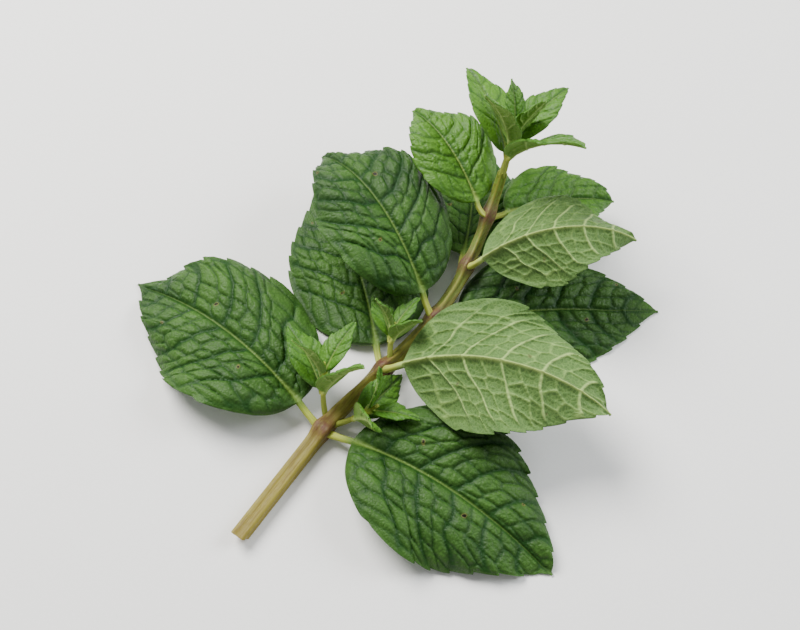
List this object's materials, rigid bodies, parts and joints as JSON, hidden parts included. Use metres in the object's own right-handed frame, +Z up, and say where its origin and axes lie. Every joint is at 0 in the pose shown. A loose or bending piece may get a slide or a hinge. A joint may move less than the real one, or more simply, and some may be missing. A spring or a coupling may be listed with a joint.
{
  "type": "mint sprig",
  "caption": "Freshly cut mint sprig lying down: a square stem with opposite pairs of toothed, blistered leaves, small side shoots and a crown of young leaves.",
  "frame": {"origin": "middle of the sprig's box in X and Y, on the surface that it lies on", "axes": "+Y along the stem from its cut end to its tip, +Z up, +X to the right of the stem seen from above"},
  "size_m": [0.1288, 0.1322, 0.0476],
  "materials": {
    "leaf": "satin",
    "young_leaf": "satin",
    "stem": "satin"
  },
  "bodies": {
    "root": {"stem": "stem", "leaf_1_right": "leaf", "leaf_1_left": "leaf", "leaf_2_right": "leaf", "leaf_2_left": "leaf", "leaf_3_right": "leaf", "leaf_3_left": "leaf", "leaf_4_right": "leaf", "leaf_4_left": "leaf", "leaf_5_right": "leaf", "leaf_5_left": "leaf", "side_shoot_1_right": "young_leaf", "side_shoot_1_left": "young_leaf", "side_shoot_2_left": "young_leaf", "tip_crown": "young_leaf"}
  },
  "joints": []
}
